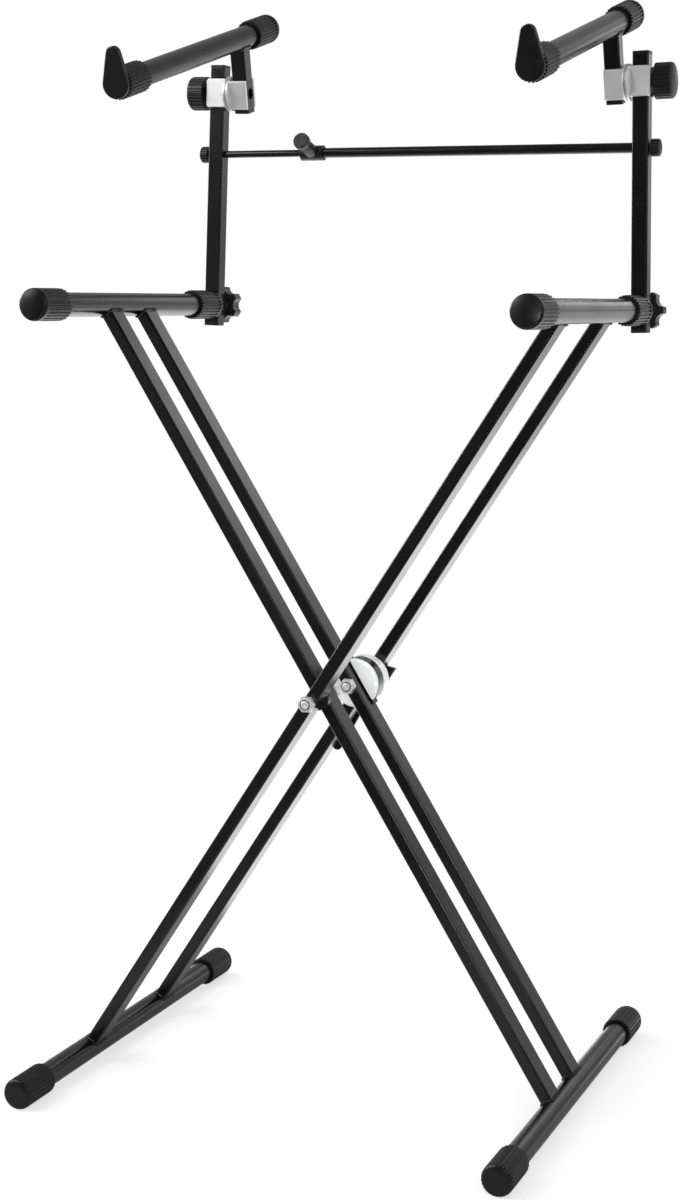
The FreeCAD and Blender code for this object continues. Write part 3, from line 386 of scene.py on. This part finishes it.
def weld(name, body, tube_centre, tube_axis, stem, tube_radius, width, depth, corner):
    """A rippled bead around the end of a box tube that stands on a round tube.

    The stem direction runs from the round tube's axis along the box tube.
    """
    across = stem.cross(tube_axis)
    outline = rounded_outline(width, depth, corner)
    gaps = [(outline[i][0] - outline[i - 1][0]).length for i in range(len(outline))]
    ripples = round(sum(gaps) / WELD_PITCH)
    rings = []
    travelled = 0
    for (point, out), gap in zip(outline, gaps):
        travelled += gap
        wave = math.cos(2 * math.pi * ripples * travelled / sum(gaps))
        bead = WELD_RADIUS * (1 + WELD_RIPPLE * wave)
        height = math.sqrt(tube_radius ** 2 - point.x ** 2)
        middle = across * point.x + tube_axis * point.y + stem * height
        outward = across * out.x + tube_axis * out.y
        ring = []
        for side in range(WELD_SIDES):
            turn = 2 * math.pi * side / WELD_SIDES
            skin = middle + (outward * math.cos(turn) + stem * math.sin(turn)) * bead
            ring.append(tube_centre + skin * MM)
        rings.append(ring)
    points, faces = looped(rings)
    return new_piece(name, body, "paint", points, faces)


def box_middle(node):
    """The middle of a node's box, in metres."""
    low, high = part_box(node)
    return (low + high) / 2


def round_tube_radius():
    """The radius of the round tubes in millimetres."""
    low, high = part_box("left_foot")
    return (high.x - low.x) / 2 / MM


def leg_welds():
    """Beads where the four legs meet the arm and foot tubes."""
    for leg, body, foot, arm in (
        ("front_outer_leg", "outer_legs", "left_foot", "right_arm"),
        ("rear_outer_leg", "outer_legs", "left_foot", "right_arm"),
        ("front_inner_leg", "inner_legs", "right_foot", "left_arm"),
        ("rear_inner_leg", "inner_legs", "right_foot", "left_arm"),
    ):
        front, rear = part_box(leg)
        section = (LEG_WIDTH, (rear.y - front.y) / MM, LEG_CORNER)
        low_end, high_end = box_middle(foot), box_middle(arm)
        low_end.y = high_end.y = (front.y + rear.y) / 2
        rise = (high_end - low_end).normalized()
        weld(f"{leg}_foot_weld", body, low_end, Y, rise, round_tube_radius(), *section)
        weld(f"{leg}_arm_weld", body, high_end, Y, -rise, round_tube_radius(), *section)


def tube_ends(node):
    """Centres of the front and rear end of a tilted round tube."""
    points = [vertex.co for vertex in nodes[node].data.vertices]
    middle = sum((point.y for point in points), 0.0) / len(points)
    front = [point for point in points if point.y < middle]
    rear = [point for point in points if point.y >= middle]
    return sum(front, Vector()) / len(front), sum(rear, Vector()) / len(rear)


def post_weld(side):
    """The bead where a post meets its upper arm."""
    front, rear = tube_ends(f"{side}_upper_arm")
    along = (rear - front).normalized()
    joint = joints[f"{side}_arm_tilt"]
    seat = front + along * (Vector(joint["pos_m"]) - front).dot(along)
    down = along.cross(Vector(joint["axis"])).normalized()
    if down.z > 0:
        down = -down
    section = (POST_SIDE, POST_SIDE, POST_CORNER)
    weld(f"{side}_post_weld", f"{side}_upper_arm", seat, along, down, round_tube_radius(), *section)


# Domed ends of caps and knobs in millimetres: edge and crown are the heights of the rim and of the middle

DOME_STEPS = 8
EDGE_ROUND = 0.4
# Where a round edge's middle lies inside the corner, as a share of the edge's radius
EDGE_MIDDLE = 0.3
CAP_FACE = {"radius": 16.2, "crown": 3.6, "edge": 0.6, "sunk": 3.0}
FOOT_FACE = {"radius": 12.6, "crown": 0.6, "edge": 0.3, "sunk": 2.0}
KNOB_FACE = {"radius": 17.6, "crown": 2.0, "edge": 0.4, "sunk": 3.0}
BAR_KNOB_FACE = {"radius": 8.2, "crown": 1.2, "edge": 0.2, "sunk": 2.0}


def domed_disc(name, body, slot, base, axis, radius, crown, edge, sunk):
    """A disc with a crowned face and a small round edge, its foot sunk into what carries it."""
    inset = EDGE_MIDDLE * EDGE_ROUND
    profile = [(0, -sunk), (radius, -sunk), (radius, edge - EDGE_ROUND), (radius - inset, edge - inset)]
    for step in range(DOME_STEPS + 1):
        share = 1 - step / DOME_STEPS
        profile.append(((radius - EDGE_ROUND) * share, edge + (crown - edge) * (1 - share ** 2)))
    return turned(name, body, slot, base, axis, profile)


def cap_faces():
    """Crowned faces on the caps of arms, feet and upper arms."""
    for tube, body, ends, face in (
        ("left_arm", "inner_legs", (-1,), CAP_FACE),
        ("left_foot", "outer_legs", (-1, 1), FOOT_FACE),
        ("right_arm", "outer_legs", (-1,), CAP_FACE),
        ("right_foot", "inner_legs", (-1, 1), FOOT_FACE),
    ):
        low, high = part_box(f"{tube}_caps")
        for end in ends:
            base = box_middle(tube)
            base.y = low.y if end < 0 else high.y
            name = f"{tube}_{'front' if end < 0 else 'rear'}_cap_face"
            domed_disc(name, body, "rubber", base, Y * end, **face)
    for side in SIDES:
        front, rear = tube_ends(f"{side}_upper_arm")
        along = (rear - front).normalized()
        reach = max((vertex.co - front).dot(along) for vertex in nodes[f"{side}_upper_cap"].data.vertices)
        base = front + along * reach
        domed_disc(f"{side}_upper_cap_face", f"{side}_upper_arm", "rubber", base, along, **CAP_FACE)


def knob_faces():
    """Crowned outer faces of the tilt knobs and of the crossbar's end knobs."""
    for side, sign in SIDES.items():
        for knob, face in ((f"{side}_tilt_knob", KNOB_FACE), (f"{side}_bar_knob", BAR_KNOB_FACE)):
            joint = joints[f"{knob}_turn"]
            out = Vector(joint["axis"]).normalized() * sign
            start = Vector(joint["pos_m"])
            reach = max((vertex.co - start).dot(out) for vertex in nodes[knob].data.vertices)
            domed_disc(f"{knob}_face", knob, "plastic", start + out * reach, out, **face)


# Painted shade band of the clutch in millimetres: its section has points of (radius, depth from the band's front)

BAND_BEHIND_DISC = 4.5
BAND_SECTION = [
    (23.6, 0.2), (29.4, 0.2), (30.4, 1.2), (30.4, 16.4), (29.8, 17.0), (29.0, 17.0), (29.0, 8.8), (23.6, 8.8),
]
BAND_HALF_ANGLE = math.radians(63)
BAND_STEPS = 32


def clutch_shade_band():
    """Dark grey band of painted shade behind the clutch's front disc, in its groove and over the front of its
    drum.

    It has a piece on either side of the leg.
    """
    low, high = box_middle("right_foot"), box_middle("left_arm")
    low.y = high.y
    rise = (high - low).normalized()
    across = Y.cross(rise)
    pivot = Vector(joints["fold"]["pos_m"])
    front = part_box("clutch_inner_half")[0].y
    start = Vector((pivot.x, front + BAND_BEHIND_DISC * MM, pivot.z))
    for side, sign in SIDES.items():
        rings = []
        for step in range(BAND_STEPS + 1):
            turn = BAND_HALF_ANGLE * (2 * step / BAND_STEPS - 1)
            out = (across * math.cos(turn) + rise * math.sin(turn)) * sign
            rings.append([start + (out * radius + Y * depth) * MM for radius, depth in BAND_SECTION])
        points, faces = looped(rings, closed=False)
        # Its dark grey steel colour is painted shade: it darkens the groove and the drum's flank where shade
        # falls.
        new_piece(f"clutch_shade_band_{side}", "inner_legs", "spring_steel", points, faces)


# Neck of the crossbar's collar, around its screw: a profile of (radius, height) in millimetres

COLLAR_NECK = [(5.9, 7.0), (8.8, 7.0), (7.4, 32.6), (6.6, 33.6), (5.9, 33.6)]


def collar_neck():
    """The stout neck that leads the thumb screw into the collar."""
    joint = joints["collar_screw_turn"]
    axis = Vector(joint["axis"]).normalized()
    turned("collar_neck", "right_upright", "plastic", Vector(joint["pos_m"]), axis, COLLAR_NECK)


# Lock nuts of the two crossings: profiles of (radius, height) in millimetres

NUT_COLLAR = [(6.2, -1.0), (7.7, -1.0), (7.7, 0.8), (7.2, 1.8), (6.5, 1.8), (6.2, 1.5)]
NUT_INSERT = [(4.7, -0.8), (6.4, -0.8), (6.4, 1.0), (4.7, 1.0)]
BOLT_TIP = [(0, -1.0), (4.9, -1.0), (4.9, 0.0), (3.9, 0.9), (1.6, 0.9), (0.9, 0.3), (0, 0.1)]
# Decimals of a metre that tell the faces of the nuts apart
DEPTH_DECIMALS = 4


def lock_nut_details():
    """The rolled collar of each lock nut, its nylon ring in black as painted shade, and the chamfered, dimpled end
    of its bolt.

    Both nuts are in one node, whose points lie at four depths: the front and rear of either nut.
    """
    depths = {round(vertex.co.y, DEPTH_DECIMALS) for vertex in nodes["pivot_nuts"].data.vertices}
    front_nut, _, rear_nut, _ = sorted(depths)
    pivot = Vector(joints["fold"]["pos_m"])
    for bolt, nut_front in (("front_pivot_bolt", front_nut), ("clutch_bolt", rear_nut)):
        bolt_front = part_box(bolt)[0].y
        collar_seat = Vector((pivot.x, nut_front, pivot.z))
        turned(f"{bolt}_nut_collar", "inner_legs", "zinc", collar_seat, -Y, NUT_COLLAR)
        # The ring's black is painted shade for the dark recess inside the collar.
        turned(f"{bolt}_nut_insert", "inner_legs", "plastic", collar_seat, -Y, NUT_INSERT)
        turned(f"{bolt}_tip", "inner_legs", "zinc", Vector((pivot.x, bolt_front, pivot.z)), -Y, BOLT_TIP)


leg_welds()
for tier_side in SIDES:
    post_weld(tier_side)
cap_faces()
knob_faces()
clutch_shade_band()
collar_neck()
lock_nut_details()


# Stage


def floor_paper():
    """White paper that keeps the stand's soft shadow and fades into the white backdrop.

    The camera sees the backdrop through it, so that a foot below its level in a folded pose still shows.
    Mirrors see it dim under the stand and bright behind it.
    """
    shadow_share = 0.38
    fade_start = 0.62
    fade_end = 0.98
    mirrored_near = 0.12
    mirrored_far = 1.0
    near_depth = 0.2
    far_depth = 2.2
    material, tree = new_material("floor_white_paper")
    place = add(tree, "ShaderNodeTexCoord").outputs["Object"]
    parts = add(tree, "ShaderNodeSeparateXYZ", {"Vector": place})
    share = add(tree, "ShaderNodeMapRange", {
        "Value": parts.outputs["Y"], "From Min": near_depth, "From Max": far_depth,
        "To Min": mirrored_near, "To Max": mirrored_far,
    })
    away = add(tree, "ShaderNodeVectorMath", {0: place}, operation="LENGTH")
    far = add(tree, "ShaderNodeMapRange", {
        "Value": away.outputs["Value"], "From Min": fade_start, "From Max": fade_end,
        "To Min": 1 - shadow_share, "To Max": 1.0,
    }, interpolation_type="SMOOTHSTEP")
    albedo = add(tree, "ShaderNodeMath", {0: 1.0, 1: far.outputs["Result"]}, operation="SUBTRACT")
    rays = add(tree, "ShaderNodeLightPath")
    mirrored = add(tree, "ShaderNodeMath", {
        0: rays.outputs["Is Glossy Ray"], 1: rays.outputs["Is Transmission Ray"],
    }, operation="MAXIMUM")
    shown = add(tree, "ShaderNodeMath", {
        0: mirrored.outputs["Value"], 1: share.outputs["Result"],
    }, operation="MULTIPLY")
    glow = add(tree, "ShaderNodeMath", {
        0: shown.outputs["Value"], 1: far.outputs["Result"],
    }, operation="MULTIPLY")
    clear = add(tree, "ShaderNodeMath", {
        0: rays.outputs["Is Camera Ray"], 1: far.outputs["Result"],
    }, operation="MULTIPLY")
    paper = add(tree, "ShaderNodeBsdfDiffuse", {"Color": albedo.outputs["Value"]})
    light = add(tree, "ShaderNodeEmission", {"Strength": glow.outputs["Value"]})
    backing = add(tree, "ShaderNodeBsdfTransparent", {"Color": clear.outputs["Value"]})
    sheet = add(tree, "ShaderNodeAddShader", {0: paper.outputs["BSDF"], 1: light.outputs["Emission"]})
    both = add(tree, "ShaderNodeAddShader", {0: sheet.outputs["Shader"], 1: backing.outputs["BSDF"]})
    add(tree, "ShaderNodeOutputMaterial", {"Surface": both.outputs["Shader"]})
    return material


def floor():
    """A sheet of paper that ends in front of the stand, so front faces mirror the dark room there."""
    front = -1.0
    rear = 30.0
    half = 30.0
    corners = [(-half, front, 0), (half, front, 0), (half, rear, 0), (-half, rear, 0)]
    mesh = bpy.data.meshes.new("floor")
    mesh.from_pydata(corners, [], [(0, 1, 2, 3)])
    mesh.materials.append(floor_paper())
    item = bpy.data.objects.new("floor", mesh)
    bpy.context.scene.collection.objects.link(item)


def backdrop():
    """White to the camera.

    Reflections see it pale behind the stand and dark on the camera's side, where it pales to the left.
    The bounds of these fields are X and Y of a direction of length 1.
    """
    ambient = 0.8
    dark_front = 0.02
    pale_front_left = 0.32
    pale_back = 0.4
    left_end = -0.55
    left_start = -0.25
    back_start = -0.1
    back_end = 0.4
    world = bpy.data.worlds.new("studio")
    world.use_nodes = True
    tree = world.node_tree
    tree.nodes.clear()
    direction = add(tree, "ShaderNodeTexCoord").outputs["Generated"]
    parts = add(tree, "ShaderNodeSeparateXYZ", {"Vector": direction})
    front = add(tree, "ShaderNodeMapRange", {
        "Value": parts.outputs["X"], "From Min": left_end, "From Max": left_start,
        "To Min": pale_front_left, "To Max": dark_front,
    }, interpolation_type="SMOOTHSTEP")
    behind = add(tree, "ShaderNodeMapRange", {
        "Value": parts.outputs["Y"], "From Min": back_start, "From Max": back_end,
        "To Min": front.outputs["Result"], "To Max": pale_back,
    }, interpolation_type="SMOOTHSTEP")
    rays = add(tree, "ShaderNodeLightPath")
    seen = add(tree, "ShaderNodeMath", {
        0: rays.outputs["Is Glossy Ray"], 1: rays.outputs["Is Transmission Ray"],
    }, operation="MAXIMUM")
    mirrored = add(tree, "ShaderNodeMix", {
        "Factor": seen.outputs["Value"], "A": ambient, "B": behind.outputs["Result"],
    }, data_type="FLOAT")
    strength = add(tree, "ShaderNodeMix", {
        "Factor": rays.outputs["Is Camera Ray"], "A": mirrored.outputs["Result"], "B": 1.0,
    }, data_type="FLOAT")
    light = add(tree, "ShaderNodeBackground", {
        "Color": linear("#ffffff"), "Strength": strength.outputs["Result"],
    })
    add(tree, "ShaderNodeOutputWorld", {"Surface": light.outputs["Background"]})
    bpy.context.scene.world = world


def softbox(name, place, target, size, radiance, spread=180):
    """An area lamp, out of the camera's sight.

    Lengths are in metres and the spread in degrees. At full spread, a radiance of 1 mirrors as white.
    """
    width, height = size
    lamp = bpy.data.lights.new(name, "AREA")
    lamp.shape = "RECTANGLE"
    lamp.size = width
    lamp.size_y = height
    lamp.spread = math.radians(spread)
    lamp.energy = math.pi * width * height * radiance
    item = bpy.data.objects.new(name, lamp)
    item.location = place
    item.rotation_mode = "QUATERNION"
    item.rotation_quaternion = (Vector(target) - Vector(place)).to_track_quat("-Z", "Y")
    item.visible_camera = False
    bpy.context.scene.collection.objects.link(item)


def camera():
    """The photograph's viewpoint."""
    lens = bpy.data.cameras.new("camera")
    lens.sensor_width = SENSOR_LONG_SIDE
    lens.lens = FOCAL_PIXELS / IMAGE_HEIGHT * SENSOR_LONG_SIDE
    level = math.cos(CAMERA_PITCH)
    forward = Vector((
        -math.sin(CAMERA_YAW) * level, math.cos(CAMERA_YAW) * level, math.sin(CAMERA_PITCH),
    ))
    right = Vector((math.cos(CAMERA_YAW), math.sin(CAMERA_YAW), 0))
    up = right.cross(forward)
    turned_right = math.cos(CAMERA_ROLL) * right + math.sin(CAMERA_ROLL) * up
    turned_up = math.cos(CAMERA_ROLL) * up - math.sin(CAMERA_ROLL) * right
    item = bpy.data.objects.new("camera", lens)
    turn = Matrix((turned_right, turned_up, -forward)).transposed().to_4x4()
    item.matrix_world = Matrix.Translation(CAMERA_PLACE) @ turn
    bpy.context.scene.collection.objects.link(item)
    bpy.context.scene.camera = item


floor()
backdrop()
softbox("key_front_left", place=(-1.5, -1.1, 2.2), target=(-0.2, 0.1, 1.2), size=(1.0, 1.2), radiance=6.5)
softbox("left_strip", place=(-3.0, 0.1, 1.65), target=(0, 0.1, 0.8), size=(1.7, 0.75), radiance=14)
softbox("front_right", place=(2.0, -2.6, 1.9), target=(0, 0, 0.7), size=(1.2, 1.2), radiance=3)
softbox("fill_right", place=(3.0, 0.2, 2.2), target=(0, 0, 0.8), size=(2.0, 2.0), radiance=0.8)
softbox(
    "crossing_grid", place=(0.9, -1.7, 0.55), target=(0.03, 0.1, 0.63), size=(0.3, 0.3), radiance=2.0,
    spread=40,
)
softbox("back_low", place=(1.25, 3.4, 1.4), target=(1.25, 0, 1.4), size=(0.7, 0.6), radiance=0.6)
softbox("back_high", place=(0.45, 3.1, 1.95), target=(0.45, 0, 1.95), size=(1.0, 0.9), radiance=1.2)
softbox("floor_bounce", place=(0.1, 1.26, 0.01), target=(0.1, 1.26, 1), size=(2.4, 1.88), radiance=1.6)
camera()
bpy.context.scene.view_settings.view_transform = "Standard"
